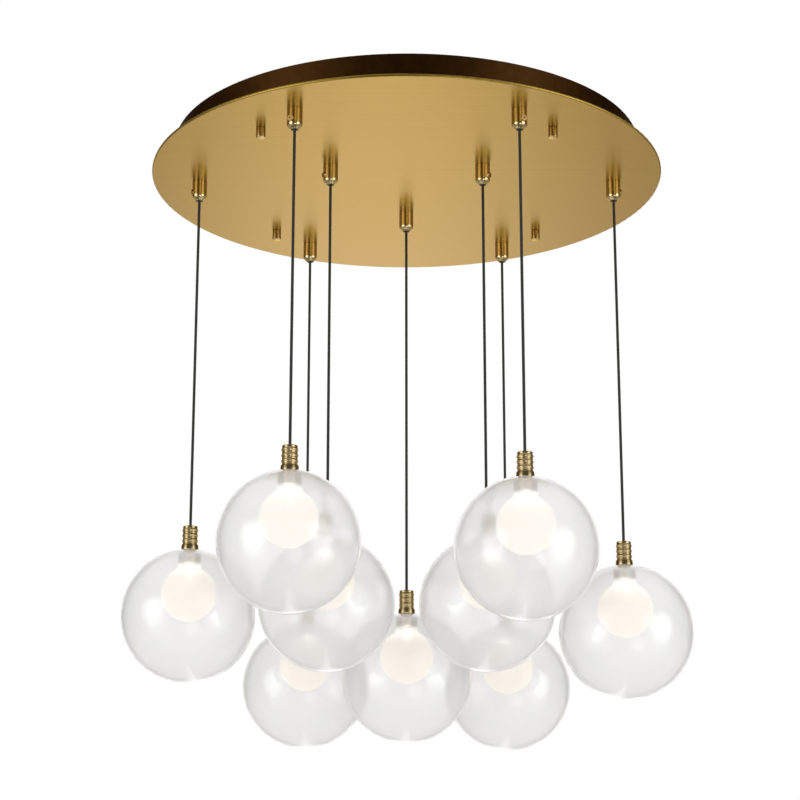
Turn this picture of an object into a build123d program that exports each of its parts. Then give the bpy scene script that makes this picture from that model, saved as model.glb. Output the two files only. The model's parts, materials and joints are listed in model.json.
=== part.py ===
"""Cluster pendant: nine double-glass globes hang on cords from one round canopy.

Frame: the origin is the middle of the ceiling plane, +Z is up, +X is to the right and +Y points
away from someone who looks at the lamp from the front. Lengths are in millimetres.

The canopy, from the ceiling down: an X-shaped bracket, four studs, the wiring (terminal block,
transformer, leads), a rolled drum and a wide brushed disc that four cap nuts pull up against it.
Nine cord grips stand in the disc. Below each of them hangs a pendant: a cord, a ribbed brass cap,
a lampholder with its capsule lamp, a frosted inner globe and a clear outer globe.
"""
from build123d import *
import os
from math import cos, radians, sin, sqrt

# ---------------------------------------------------------------- canopy
disc_radius = 300.0
disc_thickness = 3.0
disc_edge_radius = 1.2
canopy_height = 38.0
drum_radius = 274.0
drum_wall = 1.2
drum_lip_width = 8.0
drum_bend_radius = 2.5

# ---------------------------------------------------------------- ceiling bracket and its studs
bar_width = 28.0
bar_thickness = 3.0
plate_radius = 65.0
supply_hole_radius = 14.0
ceiling_screw_circle_radius = 130.0
ceiling_screw_hole_radius = 2.75
box_slot_spacing = 88.9
box_slot_length = 14.0
box_slot_width = 5.0
stud_circle_radius = 230.0
stud_radius = 2.5
stud_angles = (45.0, 135.0, 225.0, 315.0)
cap_nut_radius = 5.25
cap_nut_height = 12.0
cap_nut_chamfer = 0.7
cap_nut_end_wall = 2.0
stud_end_gap = 1.0

# ---------------------------------------------------------------- pendants and where they hang
outer_ring_inset = 29.0
outer_ring_angles = (0.0, 60.0, 120.0, 180.0, 240.0, 300.0)
outer_drops = (538.0, 569.0, 566.0, 520.0, 482.0, 489.0)
inner_ring_radius = 102.0
inner_ring_angles = (90.0, 210.0, 330.0)
inner_drops = (574.0, 516.0, 516.0)

# ---------------------------------------------------------------- cord and cord grip
cord_radius = 1.6
cord_end_rise = 0.4
lead_end_rise = 1.6
ferrule_radius = 3.2
ferrule_length = 4.0
grip_radius = 8.5
grip_length = 23.5
grip_nose_length = 6.5
grip_nose_bulge = 1.1
grip_lip_wall = 2.6
grip_lip_height = 1.0
grip_bore_clearance = 0.4
grip_stem_radius = 5.0
grip_stem_rise = 9.0
locknut_width = 14.0
locknut_height = 4.0
set_screw_radius = 1.9
set_screw_head_radius = 3.5
set_screw_head_height = 1.9
set_screw_seat_depth = 0.8
set_screw_drop = 12.6
set_screw_socket_width = 2.5
set_screw_socket_depth = 1.2

# ---------------------------------------------------------------- wiring in the canopy
block_radius = 34.0
block_bore_radius = 15.0
block_height = 20.0
block_ear_radius = 5.5
block_ear_thickness = 3.0
block_ear_reach = 6.5
block_ear_angles = (45.0, 225.0)
socket_depth = 8.0
terminal_screw_radius = 2.0
terminal_screw_height = 3.0
terminal_screw_slot = 0.7
terminal_screw_inset = 4.0
small_screw_radius = 1.8
small_screw_head_radius = 3.5
small_screw_head_height = 2.4
earth_screw_circle_radius = 95.0
earth_screw_angle = 135.0
lead_bend_radius = 9.0
transformer_length = 100.0
transformer_width = 50.0
transformer_height = 20.0
transformer_distance = 150.0
transformer_angle = 270.0
transformer_edge_radius = 4.0

# ---------------------------------------------------------------- glass
globe_radius = 75.0
globe_wall = 1.8
collar_height = 5.0
diffuser_radius = 31.0
diffuser_wall = 1.5
diffuser_rise = 24.6
neck_radius = 12.75
neck_fillet = 3.5

# ---------------------------------------------------------------- cap, lampholder and lamp
cap_height = 27.2
cap_flange_height = 5.9
cap_flange_wall = 1.3
cap_body_wall = 2.3
cap_top_wall = 4.0
cap_top_chamfer = 0.5
cap_chamber_radius = 4.2
ridge_height = 0.7
ridge_foot = 3.0
ridge_crest = 1.2
ridge_pitch = 6.05
ridge_count = 3
first_ridge_drop = 4.3
holder_radius = 5.7
holder_height = 14.0
holder_glass_gap = 0.7
lamp_radius = 4.8
lamp_length = 30.0
pinch_width = 8.0
pinch_thickness = 3.2
pinch_length = 7.0
pinch_seat_depth = 4.0

# ---------------------------------------------------------------- fits
fit_clearance = 0.3
thread_clearance = 0.05
hole_clearance = 0.25

# ---------------------------------------------------------------- sizes that follow
outer_ring_radius = drum_radius - outer_ring_inset
disc_face_z = -canopy_height
disc_back_z = disc_face_z + disc_thickness
bar_face_z = -bar_thickness
grip_mouth_z = disc_face_z - grip_length
lead_z = bar_face_z - block_height / 2
grip_bore_radius = cord_radius + grip_bore_clearance
stem_hole_radius = grip_stem_radius + hole_clearance
stud_hole_radius = stud_radius + hole_clearance
lead_hole_radius = cord_radius + fit_clearance

# ---------------------------------------------------------------- pendant heights, from its globe's middle
collar_bore_radius = holder_radius + holder_glass_gap
collar_radius = collar_bore_radius + globe_wall
collar_top = globe_radius + collar_height
crown_z = sqrt(globe_radius**2 - collar_radius**2)
fitter_radius = collar_radius + fit_clearance
cap_flange_radius = fitter_radius + cap_flange_wall
cap_bottom = sqrt(globe_radius**2 - fitter_radius**2) + fit_clearance
cap_top = cap_bottom + cap_height
holder_bore_radius = holder_radius + fit_clearance
holder_bore_bottom = collar_top + fit_clearance
cap_body_radius = holder_bore_radius + cap_body_wall
chamber_top = cap_top - cap_top_wall
holder_top = collar_top + holder_height / 2
holder_bottom = holder_top - holder_height
chamber_bottom = holder_top + fit_clearance
ferrule_top = chamber_top - fit_clearance

pendants = [
    *zip(outer_ring_angles, [outer_ring_radius] * len(outer_ring_angles), outer_drops),
    *zip(inner_ring_angles, [inner_ring_radius] * len(inner_ring_angles), inner_drops),
]


def at(angle, radius, z=0.0):
    """The place at an angle and a distance from the canopy's axis, turned to face outwards."""
    return Pos(radius * cos(radians(angle)), radius * sin(radians(angle)), z) * Rot(0, 0, angle)


def turned(*outline):
    """A piece turned about the Z axis, from the corners (radius, height) of half its section."""
    with BuildPart() as piece:
        with BuildSketch(Plane.XZ):
            with BuildLine():
                Polyline(*outline, close=True)
            make_face()
        revolve(axis=Axis.Z)
    return piece.part


def tube(bore, radius, bottom, top):
    """A plain turned tube."""
    return turned((bore, bottom), (radius, bottom), (radius, top), (bore, top))


def rod(radius, bottom, top):
    """A plain round bar."""
    return Pos(0, 0, (bottom + top) / 2) * Cylinder(radius, top - bottom)


def group(pieces):
    """Separate solids that share one node."""
    return Compound(children=list(pieces))


# ---------------------------------------------------------------- the canopy's sheet metal
def make_face_disc():
    """The brushed disc: a flat plate with a softened rim, drilled for the grips and the studs."""
    with BuildPart() as disc:
        with Locations((0, 0, (disc_face_z + disc_back_z) / 2)):
            Cylinder(disc_radius, disc_thickness)
        fillet(disc.edges().filter_by(GeomType.CIRCLE), disc_edge_radius)
    holes = [at(a, r) * rod(stem_hole_radius, disc_face_z, disc_back_z) for a, r, _ in pendants]
    holes += [at(a, stud_circle_radius) * rod(stud_hole_radius, disc_face_z, disc_back_z) for a in stud_angles]
    return disc.part - holes


def make_drum():
    """The rolled drum: a straight wall that bends into a lip, which lies on the disc's back."""
    inner_bend_radius = drum_bend_radius - drum_wall
    with BuildPart() as drum:
        with BuildSketch(Plane.XZ):
            with BuildLine():
                FilletPolyline(
                    (drum_radius - drum_lip_width, disc_back_z),
                    (drum_radius, disc_back_z),
                    (drum_radius, 0),
                    radius=drum_bend_radius,
                )
                FilletPolyline(
                    (drum_radius - drum_lip_width, disc_back_z + drum_wall),
                    (drum_radius - drum_wall, disc_back_z + drum_wall),
                    (drum_radius - drum_wall, 0),
                    radius=inner_bend_radius,
                )
                Line((drum_radius - drum_wall, 0), (drum_radius, 0))
                Line(
                    (drum_radius - drum_lip_width, disc_back_z),
                    (drum_radius - drum_lip_width, disc_back_z + drum_wall),
                )
            make_face()
        revolve(axis=Axis.Z)
    return drum.part


def make_bracket():
    """The ceiling bracket: two flat bars that cross on a round plate, with all its holes."""
    with BuildPart() as bracket:
        with BuildSketch(Plane.XY.offset(bar_face_z)):
            Circle(plate_radius)
            for angle in stud_angles[:2]:
                SlotCenterToCenter(2 * stud_circle_radius, bar_width, rotation=angle)
            Circle(supply_hole_radius, mode=Mode.SUBTRACT)
            with PolarLocations(ceiling_screw_circle_radius, len(stud_angles), start_angle=stud_angles[0]):
                Circle(ceiling_screw_hole_radius, mode=Mode.SUBTRACT)
            with GridLocations(box_slot_spacing, 0, 2, 1):
                SlotOverall(box_slot_length, box_slot_width, mode=Mode.SUBTRACT)
            with PolarLocations(block_radius + block_ear_reach, len(block_ear_angles), block_ear_angles[0]):
                Circle(small_screw_radius + thread_clearance, mode=Mode.SUBTRACT)
            with PolarLocations(earth_screw_circle_radius, 1, earth_screw_angle):
                Circle(small_screw_radius + thread_clearance, mode=Mode.SUBTRACT)
        extrude(amount=bar_thickness)
    return bracket.part


# ---------------------------------------------------------------- the canopy's fasteners
def make_stud():
    """A weld stud, butted to the bar's face, that reaches down into a cap nut."""
    return rod(stud_radius, disc_face_z - cap_nut_height + cap_nut_end_wall + stud_end_gap, bar_face_z)


def make_cap_nut():
    """A plain round cap nut, blind-drilled from above."""
    bore = stud_radius + thread_clearance
    end_z = disc_face_z - cap_nut_height
    return turned(
        (0, end_z),
        (cap_nut_radius - cap_nut_chamfer, end_z),
        (cap_nut_radius, end_z + cap_nut_chamfer),
        (cap_nut_radius, disc_face_z),
        (bore, disc_face_z),
        (bore, end_z + cap_nut_end_wall),
        (0, end_z + cap_nut_end_wall),
    )


def make_small_screw(head_z, thread_top):
    """A pan-head screw driven upwards, with its head under head_z."""
    return turned(
        (0, head_z - small_screw_head_height),
        (small_screw_head_radius - small_screw_head_height / 2, head_z - small_screw_head_height),
        (small_screw_head_radius, head_z - small_screw_head_height / 2),
        (small_screw_head_radius, head_z),
        (small_screw_radius, head_z),
        (small_screw_radius, thread_top),
        (0, thread_top),
    )


# ---------------------------------------------------------------- cord grips
def make_grip():
    """A cord grip: a bored bullet with a small lip at its nose and a threaded stem above."""
    lip_radius = grip_bore_radius + grip_lip_wall
    lip_top = grip_mouth_z + grip_lip_height
    nose_top = grip_mouth_z + grip_nose_length
    nose_middle = ((lip_radius + grip_radius) / 2 + grip_nose_bulge / 2, (lip_top + nose_top) / 2 - grip_nose_bulge)
    stem_top = disc_back_z + grip_stem_rise
    with BuildPart() as grip:
        with BuildSketch(Plane.XZ):
            with BuildLine():
                Polyline((grip_bore_radius, grip_mouth_z), (lip_radius, grip_mouth_z), (lip_radius, lip_top))
                ThreePointArc((lip_radius, lip_top), nose_middle, (grip_radius, nose_top))
                Polyline(
                    (grip_radius, nose_top),
                    (grip_radius, disc_face_z),
                    (grip_stem_radius, disc_face_z),
                    (grip_stem_radius, stem_top),
                    (grip_bore_radius, stem_top),
                    (grip_bore_radius, grip_mouth_z),
                )
            make_face()
        revolve(axis=Axis.Z)
        seat = grip_radius - set_screw_seat_depth
        with BuildSketch(Plane.YZ.offset(seat)):
            with Locations((0, disc_face_z - set_screw_drop)):
                Circle(set_screw_head_radius + hole_clearance)
        extrude(amount=set_screw_head_height, mode=Mode.SUBTRACT)
        with BuildSketch(Plane.YZ):
            with Locations((0, disc_face_z - set_screw_drop)):
                Circle(set_screw_radius + thread_clearance)
        extrude(amount=grip_radius, mode=Mode.SUBTRACT)
    return grip.part


def make_set_screw():
    """The screw in a grip's side: a flat round head with a hexagon socket, its tip at the cord."""
    seat = grip_radius - set_screw_seat_depth
    tip = cord_radius + fit_clearance
    with BuildPart() as screw:
        with BuildSketch(Plane.YZ.offset(tip)):
            with Locations((0, disc_face_z - set_screw_drop)):
                Circle(set_screw_radius)
        extrude(amount=seat - tip)
        with BuildSketch(Plane.YZ.offset(seat)):
            with Locations((0, disc_face_z - set_screw_drop)):
                Circle(set_screw_head_radius)
                RegularPolygon(set_screw_socket_width / 2, 6, major_radius=False, mode=Mode.SUBTRACT)
        extrude(amount=set_screw_head_height)
        with BuildSketch(Plane.YZ.offset(seat)):
            with Locations((0, disc_face_z - set_screw_drop)):
                Circle(set_screw_head_radius)
        extrude(amount=set_screw_head_height - set_screw_socket_depth)
    return screw.part


def make_locknut():
    """The hexagon nut that holds a grip's stem on the disc's back."""
    with BuildPart() as nut:
        with BuildSketch(Plane.XY.offset(disc_back_z)):
            RegularPolygon(locknut_width / 2, 6, major_radius=False)
            Circle(grip_stem_radius + thread_clearance, mode=Mode.SUBTRACT)
        extrude(amount=locknut_height)
    return nut.part


# ---------------------------------------------------------------- wiring in the canopy
lead_angles = [angle for angle, _, _ in pendants] + [transformer_angle]


def make_terminal_block():
    """The moulded ring that all leads run to, with two screw ears and a hole for the supply."""
    bottom = bar_face_z - block_height
    ear_circle = block_radius + block_ear_reach
    block = tube(block_bore_radius, block_radius, bottom, bar_face_z)
    ear_bottom = bar_face_z - block_ear_thickness
    for angle in block_ear_angles:
        ear = Pos(block_ear_reach / 2, 0, 0) * Box(block_ear_reach, 2 * block_ear_radius, block_ear_thickness)
        ear += Pos(block_ear_reach, 0, 0) * Cylinder(block_ear_radius, block_ear_thickness)
        ear_middle = (ear_bottom + bar_face_z) / 2
        block += at(angle, block_radius, ear_middle) * (Pos(-block_ear_thickness, 0, 0) * ear)
        block += at(angle, block_radius, ear_middle) * ear
        block -= at(angle, ear_circle) * rod(small_screw_radius + hole_clearance, ear_bottom, bar_face_z)
    for angle in lead_angles:
        socket = Rot(0, 90, 0) * Cylinder(lead_hole_radius, 2 * socket_depth)
        block -= at(angle, block_radius, lead_z) * socket
        screw_hole = rod(terminal_screw_radius + hole_clearance, bottom, bottom + terminal_screw_height)
        block -= at(angle, block_radius - terminal_screw_inset) * screw_hole
    return block


def make_terminal_screw():
    """A slotted screw, flush in the block's underside."""
    bottom = bar_face_z - block_height
    slot = Pos(0, 0, bottom) * Box(2 * terminal_screw_radius, terminal_screw_slot, 2 * terminal_screw_slot)
    return rod(terminal_screw_radius, bottom, bottom + terminal_screw_height) - slot


def make_transformer():
    """The transformer's closed case, which lies on the disc's back."""
    middle_z = disc_back_z + transformer_height / 2
    case = Box(transformer_width, transformer_length, transformer_height)
    case = fillet(case.edges().filter_by(Axis.Z), transformer_edge_radius)
    return at(transformer_angle, transformer_distance, middle_z) * case


def make_lead(angle, radius):
    """The fixed part of a cord: up through its grip, over in one bend and in to the block."""
    start = (radius, 0, grip_mouth_z + lead_end_rise)
    end = (block_radius - socket_depth + fit_clearance, 0, lead_z)
    with BuildPart() as lead:
        with BuildLine():
            FilletPolyline(start, (radius, 0, lead_z), end, radius=lead_bend_radius)
        with BuildSketch(Plane(origin=start, z_dir=(0, 0, 1))):
            Circle(cord_radius)
        sweep()
    return Rot(0, 0, angle) * lead.part


def make_transformer_lead():
    """The short straight lead from the transformer's side to the block."""
    start = block_radius - socket_depth + fit_clearance
    end = transformer_distance - transformer_width / 2
    middle = at(transformer_angle, (start + end) / 2, lead_z)
    return middle * (Rot(0, 90, 0) * Cylinder(cord_radius, end - start))


# ---------------------------------------------------------------- glass
def make_outer_globe():
    """The clear blown globe, with the short collar on its crown that stands in the cap."""
    inside = globe_radius - globe_wall
    collar_foot = sqrt(inside**2 - collar_bore_radius**2)
    with BuildPart() as globe:
        with BuildSketch(Plane.XZ):
            with BuildLine():
                ThreePointArc((0, -globe_radius), (globe_radius, 0), (collar_radius, crown_z))
                Polyline(
                    (collar_radius, crown_z),
                    (collar_radius, collar_top),
                    (collar_bore_radius, collar_top),
                    (collar_bore_radius, collar_foot),
                )
                ThreePointArc((collar_bore_radius, collar_foot), (inside, 0), (0, -inside))
                Line((0, -inside), (0, -globe_radius))
            make_face()
        revolve(axis=Axis.Z)
    return globe.part


def bulb_section(radius, neck, blend):
    """Half the section of a solid bulb whose neck runs up to the outer globe's crown."""
    foot = diffuser_rise + sqrt(radius**2 - neck**2)
    with BuildSketch() as section:
        with BuildLine():
            ThreePointArc((0, diffuser_rise - radius), (radius, diffuser_rise), (neck, foot))
            Polyline((neck, foot), (neck, globe_radius), (0, globe_radius), (0, diffuser_rise - radius))
        make_face()
        fillet(section.vertices().sort_by(lambda v: abs(v.X - neck) + abs(v.Y - foot))[0], blend)
        Circle(globe_radius - globe_wall - fit_clearance, mode=Mode.INTERSECT)
    return section.sketch


def make_diffuser():
    """The frosted inner globe, whose clear neck is fused to the inside of the outer crown."""
    outside = bulb_section(diffuser_radius, neck_radius, neck_fillet)
    inside = bulb_section(diffuser_radius - diffuser_wall, neck_radius - diffuser_wall, neck_fillet + diffuser_wall)
    return revolve(Plane.XZ * (outside - inside), Axis.Z)


# ---------------------------------------------------------------- cap, lampholder and lamp
def make_cap():
    """The ribbed brass cap, bored in steps for the glass collar, the lampholder and the cord."""
    outline = [(cap_flange_radius, cap_bottom), (cap_flange_radius, cap_bottom + cap_flange_height)]
    outline += [(cap_body_radius, cap_bottom + cap_flange_height)]
    for number in reversed(range(ridge_count)):
        crest = cap_top - first_ridge_drop - number * ridge_pitch
        outline += [(cap_body_radius, crest - ridge_foot / 2)]
        outline += [(cap_body_radius + ridge_height, crest - ridge_crest / 2)]
        outline += [(cap_body_radius + ridge_height, crest + ridge_crest / 2)]
        outline += [(cap_body_radius, crest + ridge_foot / 2)]
    outline += [(cap_body_radius, cap_top - cap_top_chamfer), (cap_body_radius - cap_top_chamfer, cap_top)]
    outline += [(lead_hole_radius, cap_top), (lead_hole_radius, chamber_top), (cap_chamber_radius, chamber_top)]
    outline += [(cap_chamber_radius, chamber_bottom), (holder_bore_radius, chamber_bottom)]
    outline += [(holder_bore_radius, holder_bore_bottom), (fitter_radius, holder_bore_bottom)]
    outline += [(fitter_radius, cap_bottom)]
    return turned(*outline)


def make_lampholder():
    """The ceramic lampholder and, as a second solid, the capsule lamp pushed into its slot."""
    slot = Box(
        pinch_width + 2 * hole_clearance,
        pinch_thickness + 2 * hole_clearance,
        2 * (pinch_seat_depth + fit_clearance),
    )
    holder = rod(holder_radius, holder_bottom, holder_top) - Pos(0, 0, holder_bottom) * slot
    pinch_top = holder_bottom + pinch_seat_depth
    pinch_bottom = pinch_top - pinch_length
    pinch = Pos(0, 0, (pinch_top + pinch_bottom) / 2) * Box(pinch_width, pinch_thickness, pinch_length)
    lamp_bottom = pinch_bottom - lamp_length
    capsule = rod(lamp_radius, lamp_bottom + lamp_radius, pinch_bottom)
    capsule += Pos(0, 0, lamp_bottom + lamp_radius) * Sphere(lamp_radius)
    return group([holder, capsule + pinch])


def make_cord(drop):
    """A pendant's straight cord, from just inside its grip to the ferrule inside its cap."""
    globe_z = disc_face_z - drop
    end_z = globe_z + ferrule_top - ferrule_length
    cord = rod(cord_radius, end_z, grip_mouth_z + cord_end_rise)
    return cord + rod(ferrule_radius, end_z, globe_z + ferrule_top)


# ---------------------------------------------------------------- all nodes
nodes = {
    "face_disc": make_face_disc(),
    "canopy_drum": make_drum(),
    "ceiling_bracket": make_bracket(),
    "bracket_studs": group(at(a, stud_circle_radius) * make_stud() for a in stud_angles),
    "cap_nuts": group(at(a, stud_circle_radius) * make_cap_nut() for a in stud_angles),
    "cord_grips": group(at(a, r) * make_grip() for a, r, _ in pendants),
    "grip_set_screws": group(at(a, r) * make_set_screw() for a, r, _ in pendants),
    "grip_locknuts": group(at(a, r) * make_locknut() for a, r, _ in pendants),
    "terminal_block": make_terminal_block(),
    "terminal_screws": group(
        at(a, block_radius - terminal_screw_inset) * make_terminal_screw() for a in lead_angles
    ),
    "block_screws": group(
        at(a, block_radius + block_ear_reach) * make_small_screw(bar_face_z - block_ear_thickness, 0)
        for a in block_ear_angles
    ),
    "earth_screw": at(earth_screw_angle, earth_screw_circle_radius) * make_small_screw(bar_face_z, 0),
    "transformer": make_transformer(),
    "canopy_leads": group([*(make_lead(a, r) for a, r, _ in pendants), make_transformer_lead()]),
}

for number, (angle, radius, drop) in enumerate(pendants, start=1):
    globe_place = at(angle, radius, disc_face_z - drop)
    nodes[f"cord_{number}"] = at(angle, radius) * make_cord(drop)
    nodes[f"cap_{number}"] = globe_place * make_cap()
    nodes[f"lampholder_{number}"] = globe_place * make_lampholder()
    nodes[f"inner_globe_{number}"] = globe_place * make_diffuser()
    nodes[f"outer_globe_{number}"] = globe_place * make_outer_globe()

os.makedirs("parts", exist_ok=True)
for name, shape in nodes.items():
    export_step(shape, f"parts/{name}.step")
print(f"{len(nodes)} nodes written")
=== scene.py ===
# %% [markdown]
# # A cluster pendant
#
# Nine glass globes hang on thin black cords from one round brass canopy. Each pendant is, from the
# top down, a cord grip, a cord, a ribbed cap and a clear blown globe with a frosted, lit globe inside.
# The construction model gives every place and size. This script gives the pieces their smooth
# surfaces, their finishes and the light that they are seen in.

# %% Load the construction model
import json
from math import acos, atan2, cos, degrees, pi, radians, sin, sqrt

import bpy
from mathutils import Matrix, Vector


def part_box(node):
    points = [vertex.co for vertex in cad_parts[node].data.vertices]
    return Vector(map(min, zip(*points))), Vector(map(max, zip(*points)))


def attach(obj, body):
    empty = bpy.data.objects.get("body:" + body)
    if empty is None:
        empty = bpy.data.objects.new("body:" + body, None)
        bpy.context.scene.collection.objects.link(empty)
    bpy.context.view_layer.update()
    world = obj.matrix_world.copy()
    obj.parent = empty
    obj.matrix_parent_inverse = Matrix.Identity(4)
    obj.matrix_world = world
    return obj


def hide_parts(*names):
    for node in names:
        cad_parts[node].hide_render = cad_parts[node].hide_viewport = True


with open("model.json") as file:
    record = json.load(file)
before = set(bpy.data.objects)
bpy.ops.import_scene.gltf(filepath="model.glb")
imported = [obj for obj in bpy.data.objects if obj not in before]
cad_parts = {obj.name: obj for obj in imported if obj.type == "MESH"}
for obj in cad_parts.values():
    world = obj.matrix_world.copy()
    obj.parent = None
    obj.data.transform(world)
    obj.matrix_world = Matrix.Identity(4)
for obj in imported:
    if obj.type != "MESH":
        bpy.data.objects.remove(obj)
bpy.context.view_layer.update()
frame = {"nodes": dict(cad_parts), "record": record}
mm = 0.001

# %% [markdown]
# ## Where the pendants hang
#
# Everything that follows needs the middle of each globe and the two ends of each cord. They could be
# typed in, but then a longer cord in the construction model would leave its globe behind. The boxes
# of the construction's own pieces give them instead.

# %% Measure the nine pendants
pendant_count = 9
pendants = []
for number in range(1, pendant_count + 1):
    globe_low, globe_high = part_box(f"outer_globe_{number}")
    cord_low, cord_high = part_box(f"cord_{number}")
    cap_low, cap_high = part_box(f"cap_{number}")
    globe_radius = (globe_high.x - globe_low.x) / 2
    middle_x = (globe_low.x + globe_high.x) / 2
    middle_y = (globe_low.y + globe_high.y) / 2
    middle = Vector((middle_x, middle_y, globe_low.z + globe_radius))
    pendants.append({"number": number, "middle": middle, "cord_top": cord_high.z, "cord_end": cord_low.z})
cap_bottom = cap_low.z - middle.z
cap_top = cap_high.z - middle.z
cap_radius = (cap_high.x - cap_low.x) / 2
print(f"globes of {2 * globe_radius / mm:.0f} mm under caps of {(cap_top - cap_bottom) / mm:.1f} mm")

# %% [markdown]
# ## The camera
#
# The lamp is seen from the front and from below, so that the underside of the canopy shows as a
# flat oval. The eye is about 0.3 m under the lowest globe and looks slightly up. A long lens from
# 2.4 m away keeps the near globes from looking much larger than the far ones.

# %% Set up the camera
eye = Vector((-0.0077, -2.4, -1.002))
look_up = 16.16
lens = 97.65

camera_data = bpy.data.cameras.new("camera")
camera_data.lens = lens
camera = bpy.data.objects.new("camera", camera_data)
camera.location = eye
camera.rotation_euler = (radians(90 + look_up), 0, 0)
bpy.context.scene.collection.objects.link(camera)
bpy.context.scene.camera = camera
print(f"the camera looks up {look_up} degrees through a {camera_data.lens:.0f} mm lens")

# %% [markdown]
# ## Colours and nodes
#
# A colour is written the way a paint tool shows it, as an sRGB hex value, and turned to the linear
# light that the shaders reckon with. One small function adds a node to a shader or a geometry tree,
# gives it its settings and joins it to what feeds it. The others build on it: one mixes two
# colours, one starts a material, and one varies it by a noise, as no real surface is even.


# %% Helpers for every tree
noise_detail = 3.0


def paint(hex_value):
    """The linear colour of an sRGB hex value."""
    channels = [int(hex_value[i:i + 2], 16) / 255 for i in (0, 2, 4)]
    return [c / 12.92 if c <= 0.04045 else ((c + 0.055) / 1.055) ** 2.4 for c in channels] + [1.0]


def add(tree, kind, inputs=None, **settings):
    """Adds a node. An input is a value, or another node's socket to link."""
    made = tree.nodes.new(kind)
    for name, value in settings.items():
        setattr(made, name, value)
    for key, value in (inputs or {}).items():
        if isinstance(value, bpy.types.NodeSocket):
            tree.links.new(value, made.inputs[key])
        else:
            made.inputs[key].default_value = value
    return made


def mix(tree, factor, first, second):
    """Mixes two colours. On this node they are inputs 6 and 7, and the result is output 2."""
    return add(tree, "ShaderNodeMix", {0: factor, 6: first, 7: second}, data_type="RGBA").outputs[2]


def new_finish(name, colour, inputs):
    """A material with one Principled shader. Returns the material, its tree and the shader."""
    finish = bpy.data.materials.new(name)
    finish.use_nodes = True
    shader = finish.node_tree.nodes["Principled BSDF"]
    shader.inputs["Base Color"].default_value = paint(colour)
    for key, value in inputs.items():
        shader.inputs[key].default_value = value
    return finish, finish.node_tree, shader


def speckle(tree, shader, colours, roughness, sizes, bump=0.0):
    """Varies a finish by a noise whose grain has the given sizes along X, Y and Z."""
    place = add(tree, "ShaderNodeTexCoord")
    grain = add(tree, "ShaderNodeMapping", {
        "Vector": place.outputs["Object"], "Scale": [1 / size for size in sizes],
    })
    noise = add(tree, "ShaderNodeTexNoise", {
        "Vector": grain.outputs["Vector"], "Scale": 1.0, "Detail": noise_detail,
    })
    share = noise.outputs["Fac"]
    smoothest, roughest = roughness
    tint = mix(tree, share, paint(colours[0]), paint(colours[1]))
    rough = add(tree, "ShaderNodeMapRange", {"Value": share, "To Min": smoothest, "To Max": roughest})
    tree.links.new(tint, shader.inputs["Base Color"])
    tree.links.new(rough.outputs["Result"], shader.inputs["Roughness"])
    if bump:
        height = add(tree, "ShaderNodeBump", {"Height": share, "Strength": 1.0, "Distance": bump})
        tree.links.new(height.outputs["Normal"], shader.inputs["Normal"])


# %% [markdown]
# ## Brushed brass
#
# The canopy's disc is a brass sheet, ground in straight strokes from left to right and lacquered.
# The strokes are scratches a few hundredths of a millimetre wide, far too fine to show, so they are
# drawn some millimetres wide here: a noise squeezed along Y and drawn out along X. They also spread
# the reflection across themselves, which the anisotropy of the shader does, and the lacquer adds a
# pale, sharper reflection on top.

# %% The disc's finish
stroke_length = 450 * mm
stroke_width = 2.6 * mm
stroke_depth = 0.004 * mm

brushed_brass, tree, shader = new_finish(
    "brushed lacquered brass", "B7963A",
    {"Metallic": 1.0, "Anisotropic": 0.62, "Coat Weight": 0.34, "Coat Roughness": 0.2, "Coat IOR": 1.5,
     "Specular Tint": paint("FFEDDC")},
)
speckle(tree, shader, ("B29036", "C09F42"), (0.29, 0.36),
        (stroke_length, stroke_width, stroke_width), bump=stroke_depth)
across = add(tree, "ShaderNodeCombineXYZ", {"Y": 1.0})
tree.links.new(across.outputs["Vector"], shader.inputs["Tangent"])

# %% [markdown]
# ## The other metals
#
# The drum behind the disc has a dark brass colour that is painted shade, for the shadow it stands in
# behind the disc, so it only glimmers. The cord grips are turned and polished: nearly a mirror. The
# cap nuts and the caps are turned too, but aged, with a satin skin that varies from place to place.
# The grips' screws and the earth screw are satin brass. The bracket, the studs, the locknuts and the
# terminal block's screws are steel with a thin zinc plating.
#
# Seen along its surface, any metal turns into a white mirror. A specular tint keeps that edge warm.
# On the dark drum it has to stay pale, because a strong one would take the green and the blue out
# of the edge and leave it red.

# %% Metal finishes
# The drum's dark colour is painted shade, for the shadow behind the disc.
dark_brass, tree, shader = new_finish(
    "brass in painted shade", "4C3014", {"Metallic": 1.0, "Specular Tint": paint("E0CDB8")},
)
speckle(tree, shader, ("41270D", "56381A"), (0.34, 0.46), (9 * mm, 9 * mm, 9 * mm))

polished_brass, tree, shader = new_finish(
    "polished brass", "E5CF98", {"Metallic": 1.0, "Specular Tint": paint("E8C488")},
)
speckle(tree, shader, ("DBC48B", "EEDBA8"), (0.05, 0.11), (6 * mm, 6 * mm, 1.5 * mm))

satin_brass, tree, shader = new_finish("satin brass", "CDB481", {"Metallic": 1.0})
speckle(tree, shader, ("C2A874", "D6BF8E"), (0.32, 0.42), (1.2 * mm, 1.2 * mm, 1.2 * mm))

aged_brass, tree, shader = new_finish(
    "aged turned brass", "CFB887", {"Metallic": 1.0, "Specular Tint": paint("E0BE88")},
)
speckle(tree, shader, ("C3AB78", "DAC496"), (0.18, 0.27), (5 * mm, 5 * mm, 0.7 * mm), bump=0.01 * mm)

zinc_steel, tree, shader = new_finish("zinc plated steel", "B4B8BB", {"Metallic": 1.0})
speckle(tree, shader, ("A5AAAE", "C2C4C4"), (0.3, 0.45), (4 * mm, 4 * mm, 4 * mm), bump=0.01 * mm)

# %% [markdown]
# ## Plastic, cord and ceramic
#
# The terminal block and the transformer's case are injection-moulded polyamide with a fine spark
# texture. The cords are round flex with a smooth matt jacket. The lampholders are unglazed steatite,
# a dense white ceramic. Its small glow stands in for the light of the lamp beside it, little of
# which comes back out through the glass in a render.

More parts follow.
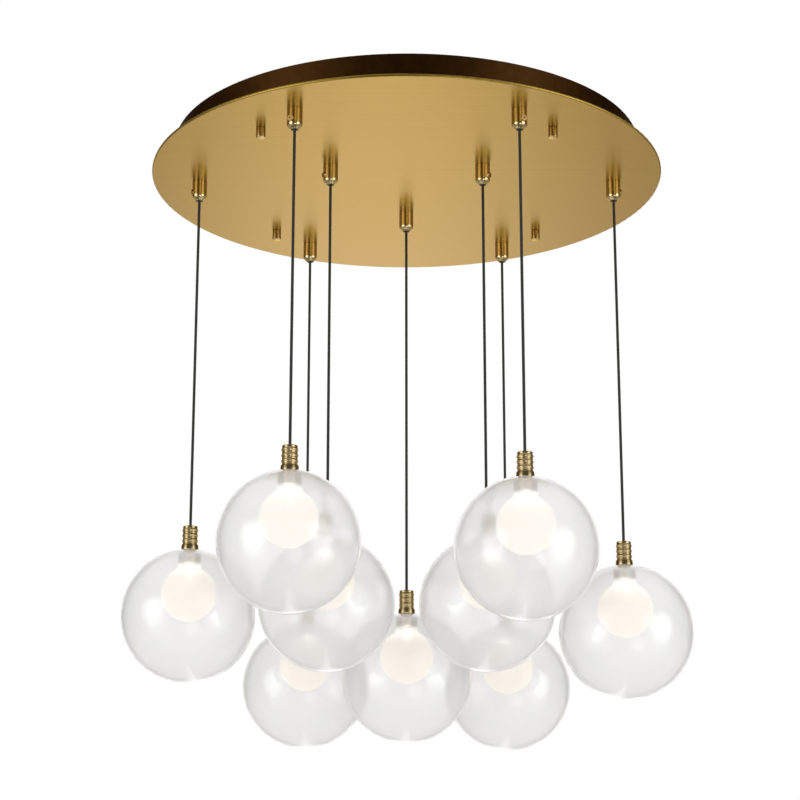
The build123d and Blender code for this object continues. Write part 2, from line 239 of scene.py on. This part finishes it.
# %% Finishes that are not metal
white_plastic, tree, shader = new_finish("moulded polyamide", "E3E2DC", {})
speckle(tree, shader, ("DAD9D2", "EAE9E4"), (0.42, 0.55), (0.8 * mm, 0.8 * mm, 0.8 * mm), bump=0.02 * mm)

cord_jacket, tree, shader = new_finish(
    "matt cord jacket", "232420", {"Sheen Weight": 0.1, "Sheen Roughness": 0.5},
)
speckle(tree, shader, ("1B1C18", "2B2C27"), (0.5, 0.62), (0.5 * mm, 0.5 * mm, 2.5 * mm), bump=0.02 * mm)

steatite, tree, shader = new_finish(
    "unglazed steatite", "E9E4D8", {"Emission Strength": 0.6, "Emission Color": paint("FFF8F0")},
)
speckle(tree, shader, ("E0DACC", "F0ECE2"), (0.55, 0.7), (0.6 * mm, 0.6 * mm, 0.6 * mm), bump=0.02 * mm)

# %% [markdown]
# ## Glass
#
# The outer globes are blown soda-lime glass with a light satin, so that what hangs behind a globe
# shows only faintly through it, and a faint painted glow stands in for the lamp's light scattered in
# it. The inner globes are sand-blasted up to a line on the neck, so that the neck stays clear and the
# rest spreads the lamp's light. That spread light is a painted glow of the glass itself, whiter round
# the lamp, where more of the lamp's own light also comes straight through. A height above the outer
# globe's middle is stored on the glass as it is made. The frosting and the painted glow follow it.

# %% Glass finishes
# The faint emission is a painted glow, for the lamp's light scattered in the satined glass.
clear_glass, tree, shader = new_finish(
    "satined blown glass", "FDFDFD",
    {"Transmission Weight": 0.8, "Roughness": 0.1, "IOR": 1.5,
     "Emission Strength": 0.036, "Emission Color": paint("FFFFFF")},
)
lamp_glass, tree, shader = new_finish(
    "quartz lamp glass", "FFFFFF", {"Transmission Weight": 1.0, "Roughness": 0.02, "IOR": 1.46},
)
near_lamp_from = 36 * mm
near_lamp_to = 50 * mm
frost_from = 56.5 * mm
frost_to = 60.5 * mm

# The grey base colour and the emission make a painted glow, for the lamp's light spread by the frosting.
frosted_glass, tree, shader = new_finish("sand-blasted glass", "A8A49E", {"IOR": 1.5})
rise = add(tree, "ShaderNodeAttribute", attribute_name="rise")
near_lamp = add(tree, "ShaderNodeMapRange", {
    "Value": rise.outputs["Fac"], "From Min": near_lamp_from, "From Max": near_lamp_to,
}, interpolation_type="SMOOTHSTEP")
# The glow's colour is painted light, whiter round the lamp.
glow = mix(tree, near_lamp.outputs["Result"], paint("FFF6EA"), paint("FFFDF8"))
tree.links.new(glow, shader.inputs["Emission Color"])
for socket, frosted, hot, clear in (
    ("Transmission Weight", 0.35, 0.8, 1.0),
    ("Roughness", 0.5, 0.36, 0.04),
    ("Emission Strength", 0.67, 0.62, 0.12),
):
    ground = add(tree, "ShaderNodeMapRange", {
        "Value": near_lamp.outputs["Result"], "To Min": frosted, "To Max": hot,
    })
    fade = add(tree, "ShaderNodeMapRange", {
        "Value": rise.outputs["Fac"], "From Min": frost_from, "From Max": frost_to,
        "To Min": ground.outputs["Result"], "To Max": clear,
    })
    tree.links.new(fade.outputs["Result"], shader.inputs[socket])

lamp_coil, tree, shader = new_finish(
    "glowing tungsten", "FFD9A0", {"Emission Strength": 30.0, "Emission Color": paint("FFF4E4")},
)

# %% [markdown]
# ## Dress the construction's own pieces
#
# The pieces in the canopy already have the right shape. They only need their finishes, which go by
# the names of the record's material slots.

# %% Give the construction's pieces their finishes
finishes = {
    "brushed_brass": brushed_brass, "dark_brass": dark_brass, "polished_brass": polished_brass,
    "satin_brass": satin_brass, "aged_brass": aged_brass, "zinc_steel": zinc_steel,
    "white_plastic": white_plastic, "black_cord": cord_jacket, "lampholder_ceramic": steatite,
    "frosted_glass": frosted_glass, "clear_glass": clear_glass,
}
for part in frame["record"]["subparts"]:
    for place in frame["nodes"][part["node"]].material_slots:
        place.material = finishes[part["material_slot"]]
print(f"{len(finishes)} finishes given out")

# %% [markdown]
# ## The cords
#
# Each globe weighs about 400 g with its cap and lamp, so its cord hangs as straight as a plumb line,
# from the mouth of the grip to the ferrule inside the cap. A curve with a round bevel makes it,
# along four points that stand one above the other. Mirrors don't see the cords, because the
# brushed disc would draw each of them out into a long dark smear.

# %% Hang the cords
cord_radius = 1.6 * mm
end_stretch = 12 * cord_radius


def hang_cord(pendant):
    """One straight cord, from its grip to its cap."""
    number, middle = pendant["number"], pendant["middle"]
    top, end = pendant["cord_top"], pendant["cord_end"]
    curve = bpy.data.curves.new(f"black_cord_{number}", "CURVE")
    curve.dimensions = "3D"
    curve.bevel_depth = cord_radius
    curve.bevel_resolution = 5
    curve.use_fill_caps = True
    curve.materials.append(cord_jacket)
    line = curve.splines.new("NURBS")
    heights = [top, top - end_stretch, end + end_stretch, end]
    line.points.add(len(heights) - 1)
    for point, height in zip(line.points, heights):
        point.co = (middle.x, middle.y, height, 1)
    line.order_u = 3
    line.use_endpoint_u = True
    cord = bpy.data.objects.new(curve.name, curve)
    bpy.context.scene.collection.objects.link(cord)
    cord.visible_glossy = False
    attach(cord, f"pendant_{number}")
    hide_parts(f"cord_{number}")
    return top - end


cord_lengths = [hang_cord(pendant) for pendant in pendants]
print("cords, mm:", [round(length / mm) for length in cord_lengths])

# %% [markdown]
# ## A lathe
#
# Globes, caps, lampholders and lamps are all round about one line. They could be built vertex by
# vertex, but a lathe says more clearly what they are: half a section, swept once round a circle. The
# node tree below takes a wire outline that stands in the XZ plane, turns it flat, sweeps it round a
# tiny circle on the Z axis and moves the result to its place. The outline runs up the inside and
# down the outside, which makes the faces point outwards.


# %% Build the lathe and a helper that runs a tree
def new_recipe(name, sockets):
    """A Geometry Nodes tree with the given inputs. Returns the tree and its input node."""
    tree = bpy.data.node_groups.new(name, "GeometryNodeTree")
    tree.interface.new_socket("Seed", in_out="INPUT", socket_type="NodeSocketGeometry")
    for socket, kind in sockets.items():
        tree.interface.new_socket(socket, in_out="INPUT", socket_type=f"NodeSocket{kind}")
    tree.interface.new_socket("Piece", in_out="OUTPUT", socket_type="NodeSocketGeometry")
    return tree, add(tree, "NodeGroupInput")


hub_radius = 1 * mm
same_place = 0.001 * mm

lathe, given = new_recipe("lathe", {"Steps": "Int", "Place": "Vector", "Finish": "Material"})
flat = add(lathe, "GeometryNodeTransform", {
    "Geometry": given.outputs["Seed"], "Translation": (-hub_radius, 0, 0), "Rotation": (radians(90), 0, 0),
})
section = add(lathe, "GeometryNodeMeshToCurve", {"Mesh": flat.outputs["Geometry"]})
circle = add(lathe, "GeometryNodeCurvePrimitiveCircle", {
    "Resolution": given.outputs["Steps"], "Radius": hub_radius,
})
upright = add(lathe, "GeometryNodeSetCurveNormal", {"Curve": circle.outputs["Curve"]}, mode="Z_UP")
swept = add(lathe, "GeometryNodeCurveToMesh", {
    "Curve": upright.outputs["Curve"], "Profile Curve": section.outputs["Curve"],
})
joined = add(lathe, "GeometryNodeMergeByDistance", {
    "Geometry": swept.outputs["Mesh"], "Distance": same_place,
})
where = add(lathe, "GeometryNodeInputPosition")
height = add(lathe, "ShaderNodeSeparateXYZ", {"Vector": where.outputs["Position"]})
marked = add(lathe, "GeometryNodeStoreNamedAttribute", {
    "Geometry": joined.outputs["Geometry"], "Name": "rise", "Value": height.outputs["Z"],
})
placed = add(lathe, "GeometryNodeTransform", {
    "Geometry": marked.outputs["Geometry"], "Translation": given.outputs["Place"],
})
smooth = add(lathe, "GeometryNodeSetShadeSmooth", {"Geometry": placed.outputs["Geometry"]})
real = add(lathe, "GeometryNodeRealizeInstances", {"Geometry": smooth.outputs["Geometry"]})
dressed = add(lathe, "GeometryNodeSetMaterial", {
    "Geometry": real.outputs["Geometry"], "Material": given.outputs["Finish"],
})
add(lathe, "NodeGroupOutput", {"Piece": dressed.outputs["Geometry"]})


def grow(name, seed, recipe, settings):
    """Runs a tree on a seed mesh and keeps the result as a plain mesh."""
    piece = bpy.data.objects.new(name, seed)
    bpy.context.scene.collection.objects.link(piece)
    modifier = piece.modifiers.new(recipe.name, "NODES")
    modifier.node_group = recipe
    for socket in recipe.interface.items_tree:
        if socket.in_out == "INPUT" and socket.name in settings:
            modifier[socket.identifier] = settings[socket.name]
    ready = piece.evaluated_get(bpy.context.evaluated_depsgraph_get())
    grown = bpy.data.meshes.new_from_object(ready)
    piece.modifiers.remove(modifier)
    piece.data = grown
    return piece


crease_angle = radians(35)
turned_steps = 96


def turn(name, outline, finish, middle=(0, 0, 0), steps=turned_steps, closed=False):
    """A turned piece, from its outline of (radius, height) points."""
    seed = bpy.data.meshes.new(name)
    edges = [(i, i + 1) for i in range(len(outline) - 1)]
    if closed:
        edges.append((len(outline) - 1, 0))
    seed.from_pydata([(radius, 0, height) for radius, height in outline], edges, [])
    piece = grow(name, seed, lathe, {"Steps": steps, "Place": middle, "Finish": finish})
    piece.data.set_sharp_from_angle(angle=crease_angle)
    return piece


# %% [markdown]
# ## Outlines
#
# An outline needs few points of its own. Round stretches come from a circle's formula, and a corner
# that a tool or a flame has softened is a short curve between its two runs.


# %% Arcs and softened corners
longest_share = 0.45


def arc(centre, radius, first, last, steps):
    """Points on a circle in the section, from one angle to another, in degrees."""
    angles = [radians(first + (last - first) * i / steps) for i in range(steps + 1)]
    return [(max(centre[0] + radius * cos(a), 0.0), centre[1] + radius * sin(a)) for a in angles]


def soften(corners, radius, steps=4, closed=False):
    """Rounds the corners of an outline, each by no more than its runs allow."""
    points = [Vector(corner) for corner in corners]
    count = len(points)
    outline = []
    for i, corner in enumerate(points):
        if not closed and i in (0, count - 1):
            outline.append(tuple(corner))
            continue
        back, ahead = points[i - 1] - corner, points[(i + 1) % count] - corner
        reach = min(radius, longest_share * back.length, longest_share * ahead.length)
        start = corner + back.normalized() * reach
        end = corner + ahead.normalized() * reach
        for step in range(steps + 1):
            share = step / steps
            rest = 1 - share
            outline.append(tuple(start * rest ** 2 + corner * (2 * share * rest) + end * share ** 2))
    return outline


# %% [markdown]
# ## The clear outer globes
#
# A globe of this size is blown into a mould and cracked off its pipe at the crown, where a short
# collar stays on for the fitting. It has a wall of 1.8 mm, and both faces of that wall have to be
# there: light bends in and out again, and a solid ball of glass would turn the room upside down.

# %% Blow the outer globes
globe_wall = 1.8 * mm
holder_radius = 5.7 * mm
holder_gap = 0.7 * mm
collar_bore_radius = holder_radius + holder_gap
collar_radius = collar_bore_radius + globe_wall
collar_height = 5 * mm
collar_top = globe_radius + collar_height
globe_steps = 128
quarter_steps = 40
lip_steps = 6

inside_radius = globe_radius - globe_wall
lip_middle = ((collar_bore_radius + collar_radius) / 2, collar_top - globe_wall / 2)
globe_outline = [
    *arc((0, 0), inside_radius, -90, degrees(acos(collar_bore_radius / inside_radius)), 2 * quarter_steps),
    *arc(lip_middle, globe_wall / 2, 180, 0, lip_steps),
    *arc((0, 0), globe_radius, degrees(acos(collar_radius / globe_radius)), -90, 2 * quarter_steps),
]
for pendant in pendants:
    number = pendant["number"]
    globe = turn(f"blown_globe_{number}", globe_outline, clear_glass, pendant["middle"], globe_steps)
    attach(globe, f"shade_{number}")
    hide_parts(f"outer_globe_{number}")
print(f"a globe has {len(globe.data.polygons)} faces")

# %% [markdown]
# ## The frosted inner globes
#
# The inner globe is a bulb with a wide neck that is fused to the crown of the outer one. Here, as in
# the construction model, a gap of 0.3 mm stands for the fused seam. A fillet leads from the neck
# into the bulb. One circle beside the glass makes it on both faces of the wall, because the wall is
# the same everywhere.

# %% Blow the inner globes
bulb_wall = 1.5 * mm
bulb_low, bulb_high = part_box("inner_globe_1")
bulb_radius = (bulb_high.x - bulb_low.x) / 2
bulb_rise = bulb_low.z + bulb_radius - pendants[0]["middle"].z
neck_radius = 12.75 * mm
neck_fillet = 3.5 * mm
crown_gap = 0.3 * mm
fillet_steps = 8

fillet_out = neck_radius + neck_fillet
fillet_rise = bulb_rise + sqrt((bulb_radius + neck_fillet) ** 2 - fillet_out ** 2)
lean = degrees(atan2(fillet_rise - bulb_rise, fillet_out))


def bulb_face(depth):
    """One face of the bulb's wall from the bottom up, at a depth under the outside."""
    crown = sqrt((inside_radius - crown_gap) ** 2 - (neck_radius - depth) ** 2)
    return [
        *arc((0, bulb_rise), bulb_radius - depth, -90, lean, quarter_steps),
        *arc((fillet_out, fillet_rise), neck_fillet + depth, 180 + lean, 180, fillet_steps)[1:],
        (neck_radius - depth, frost_from),
        (neck_radius - depth, frost_to),
        (neck_radius - depth, crown),
    ]


bulb_outline = [*bulb_face(bulb_wall), *reversed(bulb_face(0))]
for pendant in pendants:
    number = pendant["number"]
    bulb = turn(f"frosted_globe_{number}", bulb_outline, frosted_glass, pendant["middle"])
    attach(bulb, f"shade_{number}")
    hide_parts(f"inner_globe_{number}")
print(f"the frosting ends {(cap_bottom - frost_to) / mm:.0f} mm under the cap")

# %% [markdown]
# ## The ribbed caps
#
# A cap is turned from brass bar. Three full ribs, each with a fine bead under it, run round it
# between a plain band and a wider flange that covers the glass collar. Ribs and beads are rounded,
# so each is one wave of a cosine on the wall.

# %% Turn the caps
fit = 0.3 * mm
cap_steps = 72
cap_wall_radius = 8.15 * mm
cap_top_wall = 4 * mm
cap_corner = 0.4 * mm
bore_edge = 0.5 * mm
rib_drops = (4.5 * mm, 10.5 * mm, 16.6 * mm)
rib_width = 4 * mm
rib_height = 0.85 * mm
bead_drops = (7.5 * mm, 13.55 * mm, 19.6 * mm)
bead_width = 1.1 * mm
bead_height = 0.25 * mm
rib_steps = 8
band_rise = 0.05 * mm
top_band = 2.2 * mm
band_slope = 0.1 * mm
foot_band = 0.9 * mm
flange_height = 5.9 * mm
flange_flare = 0.35 * mm
flange_rim = 0.8 * mm


def rib(drop, width, height):
    """One rib or bead of the cap's wall, from the top down."""
    points = []
    for step in range(rib_steps + 1):
        along = step / rib_steps - 0.5
        swell = height * (1 + cos(2 * pi * along)) / 2
        points.append((cap_wall_radius + swell, cap_top - drop - along * width))
    return points


bore = [
    (collar_radius + fit, cap_bottom),
    (collar_radius + fit, collar_top + fit),
    (holder_radius + fit, collar_top + fit),
    (holder_radius + fit, cap_top - cap_top_wall),
    (cord_radius + fit, cap_top - cap_top_wall),
    (cord_radius + fit, cap_top),
]
wall = soften([
    (cord_radius + bore_edge, cap_top),
    (cap_wall_radius + band_rise, cap_top),
    (cap_wall_radius + band_rise, cap_top - top_band),
    (cap_wall_radius, cap_top - top_band - band_slope),
], cap_corner)
waves = [(drop, rib_width, rib_height) for drop in rib_drops]
waves += [(drop, bead_width, bead_height) for drop in bead_drops]
for drop, width, height in sorted(waves):
    wall += rib(drop, width, height)
flange_top = cap_bottom + flange_height
wall += soften([
    (cap_wall_radius + band_rise, flange_top + foot_band),
    (cap_wall_radius + band_rise, flange_top),
    (cap_radius - flange_flare, flange_top),
    (cap_radius, cap_bottom + flange_rim),
    (cap_radius, cap_bottom),
    (collar_radius + bore_edge, cap_bottom),
], cap_corner)
for pendant in pendants:
    number = pendant["number"]
    cap = turn(f"brass_cap_{number}", bore + wall, aged_brass, pendant["middle"], cap_steps, closed=True)
    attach(cap, f"shade_{number}")
    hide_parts(f"cap_{number}")
print(f"a cap has {len(rib_drops)} ribs and {len(bead_drops)} beads")

# %% [markdown]
# ## Lampholders and lamps
#
# Inside the neck, the end of a ceramic lampholder shows, with fine rings round it, and under it a
# small capsule lamp: a quartz tube with round ends and a bright coil inside.

# %% Make the lampholders and the lamps
holder_bottom = 73 * mm
holder_top = 87 * mm
lamp_radius = 4.8 * mm
lamp_tip = 40 * mm
lamp_shoulder = 66 * mm
lamp_wall = 0.8 * mm
coil_radius = 3.2 * mm
coil_bottom = 42 * mm
coil_top = 56 * mm
coil_edge = 0.4 * mm
lamp_steps = 40
lamp_arc_steps = 12

base_bottom = 61 * mm
base_radius = 5.2 * mm
ring_height = 0.4 * mm
ring_pitch = 1.7 * mm
base_steps = 56

holder_outline = [(0, holder_top), (holder_radius, holder_top), (holder_radius, holder_bottom)]
base_length = holder_bottom - base_bottom
for step in range(base_steps + 1):
    along = base_length * step / base_steps
    swell = ring_height * (1 - cos(2 * pi * along / ring_pitch)) / 2
    holder_outline.append((base_radius + swell, holder_bottom - along))
holder_outline.append((0, base_bottom))
lamp_outline = [
    *arc((0, lamp_tip + lamp_radius), lamp_radius - lamp_wall, -90, 0, lamp_arc_steps),
    *arc((0, lamp_shoulder - lamp_radius), lamp_radius - lamp_wall, 0, 90, lamp_arc_steps),
    *arc((0, lamp_shoulder - lamp_radius), lamp_radius, 90, 0, lamp_arc_steps),
    *arc((0, lamp_tip + lamp_radius), lamp_radius, 0, -90, lamp_arc_steps),
]
coil_outline = soften([
    (0, coil_top), (coil_radius, coil_top), (coil_radius, coil_bottom), (0, coil_bottom),
], coil_edge)
lamp_pieces = (
    ("lamp_socket", holder_outline, steatite),
    ("capsule_lamp", lamp_outline, lamp_glass),
    ("lamp_coil", coil_outline, lamp_coil),
)
for pendant in pendants:
    number = pendant["number"]
    for name, outline, finish in lamp_pieces:
        piece = turn(f"{name}_{number}", outline, finish, pendant["middle"], lamp_steps)
        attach(piece, f"shade_{number}")
        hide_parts(f"lampholder_{number}")

# %% [markdown]
# ## Things that stand in a ring
#
# The cord grips stand in two rings on the disc, six and three of them, and four cap nuts hold the
# disc. One of each is turned, and a second node tree sets copies of it round a circle: a row of
# points, each moved to its place by its number, with one instance on each.

# %% Build the ring tree
ring, given = new_recipe("ring", {
    "Count": "Int", "First Angle": "Float", "Radius": "Float", "Finish": "Material",
})
numbers = add(ring, "GeometryNodeInputIndex")
step = add(ring, "ShaderNodeMath", {0: 2 * pi, 1: given.outputs["Count"]}, operation="DIVIDE")
angle = add(ring, "ShaderNodeMath", {
    0: numbers.outputs["Index"], 1: step.outputs["Value"], 2: given.outputs["First Angle"],
}, operation="MULTIPLY_ADD")
across = add(ring, "ShaderNodeMath", {0: angle.outputs["Value"]}, operation="COSINE")
along = add(ring, "ShaderNodeMath", {0: angle.outputs["Value"]}, operation="SINE")
ray = add(ring, "ShaderNodeCombineXYZ", {"X": across.outputs["Value"], "Y": along.outputs["Value"]})
spot = add(ring, "ShaderNodeVectorMath", {
    0: ray.outputs["Vector"], "Scale": given.outputs["Radius"],
}, operation="SCALE")
facing = add(ring, "ShaderNodeCombineXYZ", {"Z": angle.outputs["Value"]})
spots = add(ring, "GeometryNodePoints", {"Count": given.outputs["Count"], "Position": spot.outputs["Vector"]})
copies = add(ring, "GeometryNodeInstanceOnPoints", {
    "Points": spots.outputs["Geometry"], "Instance": given.outputs["Seed"],
    "Rotation": facing.outputs["Vector"],
})
real = add(ring, "GeometryNodeRealizeInstances", {"Geometry": copies.outputs["Instances"]})
dressed = add(ring, "GeometryNodeSetMaterial", {
    "Geometry": real.outputs["Geometry"], "Material": given.outputs["Finish"],
})
add(ring, "NodeGroupOutput", {"Piece": dressed.outputs["Geometry"]})


copy_steps = 64


def set_round(name, node, outline, finish, count, first_angle, radius, closed):
    """A ring of equal turned pieces on the canopy."""
    one = turn(f"one_{name}", outline, finish, steps=copy_steps, closed=closed)
    pieces = grow(name, one.data, ring, {
        "Count": count, "First Angle": radians(first_angle), "Radius": radius, "Finish": finish,
    })
    bpy.data.objects.remove(one)
    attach(pieces, "canopy")
    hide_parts(node)
    print(f"{count} of {name}, {len(pieces.data.polygons)} faces")


# %% [markdown]
# ## Cord grips and cap nuts
#
# A cord grip is a polished brass bullet. Its nose curves in to a lip round the mouth. The mouth is
# counterbored, and a black ring sits in it: a dark piece put in as painted shade for the shadowed
# mouth. The dark ring round each cord is that painted shade. The cap nuts are plain, with a softened
# edge.

# %% Set out the cord grips and the cap nuts
disc_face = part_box("face_disc")[0].z
grips_low, grips_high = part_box("cord_grips")
grip_radius = 8.5 * mm
grip_edge = 0.2 * mm
outer_ring = grips_high.x - grip_radius
first_inner = pendants[6]["middle"]
inner_ring = Vector((first_inner.x, first_inner.y)).length
mouth = grips_low.z
lip_radius = 4.6 * mm
grip_bore = 2.0 * mm
bore_depth = 6 * mm
lip_wall = 0.45 * mm
lip_edge = 0.15 * mm
nose_length = 6.5 * mm
nose_steps = 12
nose_fullness = 2.2
lip_height = 0.6 * mm
shade_ring_bottom = mouth + 0.6 * mm
shade_ring_top = mouth + 3 * mm
shade_ring_bore = cord_radius + 0.2 * mm
counterbore_radius = lip_radius - lip_wall
shade_ring_radius = counterbore_radius - 0.02 * mm
shade_ring_edge = 0.2 * mm

nose = []
for step in range(nose_steps + 1):
    down = step / nose_steps
    nose.append((lip_radius + (grip_radius - lip_radius) * (1 - down ** nose_fullness),
                 mouth + nose_length - down * (nose_length - lip_height)))
grip_outline = [
    (grip_bore, mouth + bore_depth),
    (grip_bore, disc_face),
    (grip_radius - grip_edge, disc_face),
    (grip_radius, disc_face - grip_edge),
    *nose,
    (lip_radius, mouth + lip_edge),
    (lip_radius - lip_edge, mouth),
    (counterbore_radius + lip_edge, mouth),
    (counterbore_radius, mouth + lip_edge),
    (counterbore_radius, mouth + bore_depth),
]
# A black ring in the grip's mouth, put in as painted shade.
shade_ring_outline = soften([
    (shade_ring_bore, shade_ring_bottom), (shade_ring_bore, shade_ring_top), (shade_ring_radius, shade_ring_top), (shade_ring_radius, shade_ring_bottom),
], shade_ring_edge, closed=True)
nuts_low, nuts_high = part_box("cap_nuts")
nut_radius = 5.25 * mm
nut_edge = 0.7 * mm
nut_ring = sqrt(2) * (nuts_high.x - nut_radius)
nut_outline = soften([
    (0, disc_face), (nut_radius, disc_face), (nut_radius, nuts_low.z), (0, nuts_low.z),
], nut_edge)

set_round("outer_cord_grips", "cord_grips", grip_outline, polished_brass, 6, 0, outer_ring, True)
set_round("inner_cord_grips", "cord_grips", grip_outline, polished_brass, 3, 90, inner_ring, True)
# Rings of dark pieces as painted shade in the grips' mouths.
set_round("outer_shade_rings", "cord_grips", shade_ring_outline, cord_jacket, 6, 0, outer_ring, True)
set_round("inner_shade_rings", "cord_grips", shade_ring_outline, cord_jacket, 3, 90, inner_ring, True)
set_round("dome_nuts", "cap_nuts", nut_outline, aged_brass, 4, 45, nut_ring, False)

# %% [markdown]
# ## Floor and light
#
# The lamp hangs in a white studio. What the camera sees directly or through glass is plain white,
# and the floor glows a little for it, so that no edge of the floor shows. Metal and glass mirror a
# darker room, where soft patches and tall strips of light stand in for a photographer's lamps. All
# else gets one plain level of light from all round, and that of two large soft boxes left and right
# of the camera. Neither the camera nor a mirror sees those two.

# %% Lay the floor
floor_depth = 2.6
floor_size = 12.0
floor_lift = 0.4
floor_grain = 0.3


def seen_straight(tree):
    """A tree's light path, and a socket that is 1 where the camera sees directly or through glass."""
    path = add(tree, "ShaderNodeLightPath")
    seen = add(tree, "ShaderNodeMath", {
        0: path.outputs["Is Camera Ray"], 1: path.outputs["Is Transmission Ray"],
    }, operation="MAXIMUM")
    return path, seen.outputs["Value"]


pale_floor, tree, shader = new_finish("pale floor", "EFEFEF", {"Roughness": 0.9})
speckle(tree, shader, ("EDEDED", "F2F2F2"), (0.85, 0.95), (floor_grain, floor_grain, floor_grain))
lift = add(tree, "ShaderNodeMath", {0: seen_straight(tree)[1], 1: floor_lift}, operation="MULTIPLY")
tree.links.new(lift.outputs["Value"], shader.inputs["Emission Strength"])
bpy.ops.mesh.primitive_plane_add(size=floor_size, location=(0, 0, -floor_depth))
floor = bpy.context.object
floor.name = "floor"
floor.data.materials.append(pale_floor)
floor.visible_glossy = False


# %% Place the soft boxes
box_target = Vector((0, 0, -0.45))


def soft_box(name, bearing, distance, height, size, strength):
    """A large lamp that faces the globes. The bearing is from the camera's side, in degrees."""
    lamp_data = bpy.data.lights.new(name, "AREA")
    lamp_data.shape = "RECTANGLE"
    lamp_data.size, lamp_data.size_y = size
    lamp_data.energy = strength * pi * size[0] * size[1]
    lamp = bpy.data.objects.new(name, lamp_data)
    lamp.location = (distance * sin(radians(bearing)), -distance * cos(radians(bearing)), height)
    lamp.rotation_euler = (box_target - lamp.location).to_track_quat("-Z", "Y").to_euler()
    lamp.visible_camera = False
    lamp.visible_glossy = False
    bpy.context.scene.collection.objects.link(lamp)


soft_box("left soft box", bearing=-50, distance=2.6, height=-0.75, size=(1.9, 2.0), strength=1.05)
soft_box("right soft box", bearing=55, distance=2.6, height=-0.75, size=(2.2, 2.0), strength=1.25)

# %% Light the world
world = bpy.data.worlds.new("white studio")
world.use_nodes = True
bpy.context.scene.world = world
tree = world.node_tree
sky = tree.nodes["Background"]
plain_level = 0.72
low_level = 0.295
front_level = 0.08
high_level = 0.08

# Degrees above the horizon: where a strip ends, and from where on it is full.
strip_foot = (-62, -25)
strip_head = (26, 12)
streak_shift = 0.8
streak_half_width = 8.5

rays, straight = seen_straight(tree)
direction = add(tree, "ShaderNodeTexCoord")
axes = add(tree, "ShaderNodeSeparateXYZ", {"Vector": direction.outputs["Generated"]})


def reckon(operation, *values):
    """One sum on numbers or sockets."""
    return add(tree, "ShaderNodeMath", dict(enumerate(values)), operation=operation).outputs["Value"]


def ramp(value, start, end, low, high):
    """A soft step between two levels."""
    step = add(tree, "ShaderNodeMapRange", {
        "Value": value, "From Min": start, "From Max": end, "To Min": low, "To Max": high,
    }, interpolation_type="SMOOTHSTEP")
    return step.outputs["Result"]


def patch(bearing, elevation, full, none, strength):
    """A round soft light in one direction, with the angles where it is full and where it ends."""
    aside = radians(bearing)
    upwards = radians(elevation)
    towards = (cos(upwards) * sin(aside), -cos(upwards) * cos(aside), sin(upwards))
    near = add(tree, "ShaderNodeVectorMath", {
        0: direction.outputs["Generated"], 1: towards,
    }, operation="DOT_PRODUCT")
    return ramp(near.outputs["Value"], cos(radians(none)), cos(radians(full)), 0.0, strength)


from_front = reckon("ARCTAN2", axes.outputs["X"], reckon("MULTIPLY", axes.outputs["Y"], -1.0))
from_back = reckon("ARCTAN2", axes.outputs["X"], axes.outputs["Y"])


def strip(bearing, full, none, strength):
    """A tall soft light that stands in one direction."""
    off = reckon("ABSOLUTE", reckon("SUBTRACT", from_front, radians(bearing)))
    foot_none, foot_full = [sin(radians(angle)) for angle in strip_foot]
    head_none, head_full = [sin(radians(angle)) for angle in strip_head]
    foot = ramp(axes.outputs["Z"], foot_none, foot_full, 0.0, 1.0)
    head = ramp(axes.outputs["Z"], head_none, head_full, 0.0, 1.0)
    tall = reckon("MULTIPLY", foot, head)
    return reckon("MULTIPLY", ramp(off, radians(none), radians(full), 0.0, strength), tall)


# From above, all round.
overhead = ramp(axes.outputs["Z"], 0.5, 0.8, 0.0, 0.45)

# Narrow and low behind, for the bright band on the disc.
off_middle = reckon("ABSOLUTE", reckon("ADD", from_back, radians(streak_shift)))
streak_width = ramp(off_middle, radians(streak_half_width), 0.0, 0.0, 1.0)
streak = reckon("MULTIPLY", streak_width, ramp(axes.outputs["Z"], -0.12, -0.28, 0.0, 1.0))

# The first four stand left and right, the fifth is low in front, and the sixth is wide and behind.
lights = [
    patch(bearing=-57, elevation=2, full=8, none=28, strength=1.6),
    patch(bearing=57, elevation=2, full=8, none=28, strength=1.6),
    strip(bearing=-57, full=8, none=32, strength=0.8),
    strip(bearing=57, full=8, none=32, strength=0.8),
    patch(bearing=15, elevation=-32, full=4, none=17, strength=1.6),
    patch(bearing=180, elevation=14, full=14, none=42, strength=1.0),
    overhead,
    streak,
]
white_light = lights[0]
for light in lights[1:]:
    white_light = reckon("ADD", white_light, light)

# The room is lighter below the horizon than above it, and lighter behind the lamp than in front.
front_to_back = ramp(axes.outputs["Y"], -0.2, 0.5, front_level, low_level)
below_horizon = ramp(axes.outputs["Z"], 0.05, -0.12, 0.0, 1.0)
room = add(tree, "ShaderNodeVectorMath", {
    0: paint("FFF8EE")[:3],
    "Scale": reckon("ADD", reckon("MULTIPLY", front_to_back, below_horizon), high_level),
}, operation="SCALE")
mirrored = add(tree, "ShaderNodeVectorMath", {0: room.outputs["Vector"], 1: white_light}, operation="ADD")

plain = (plain_level, plain_level, plain_level, 1)
white = (1, 1, 1, 1)
was_mirrored = reckon("MULTIPLY", reckon("GREATER_THAN", rays.outputs["Glossy Depth"], 0.5),
                      reckon("SUBTRACT", 1.0, rays.outputs["Is Diffuse Ray"]))
not_mirrored = mix(tree, straight, plain, white)
shown = mix(tree, was_mirrored, not_mirrored, mirrored.outputs["Vector"])
tree.links.new(shown, sky.inputs["Color"])
sky.inputs["Strength"].default_value = 1.0

bpy.context.scene.view_settings.view_transform = "Standard"
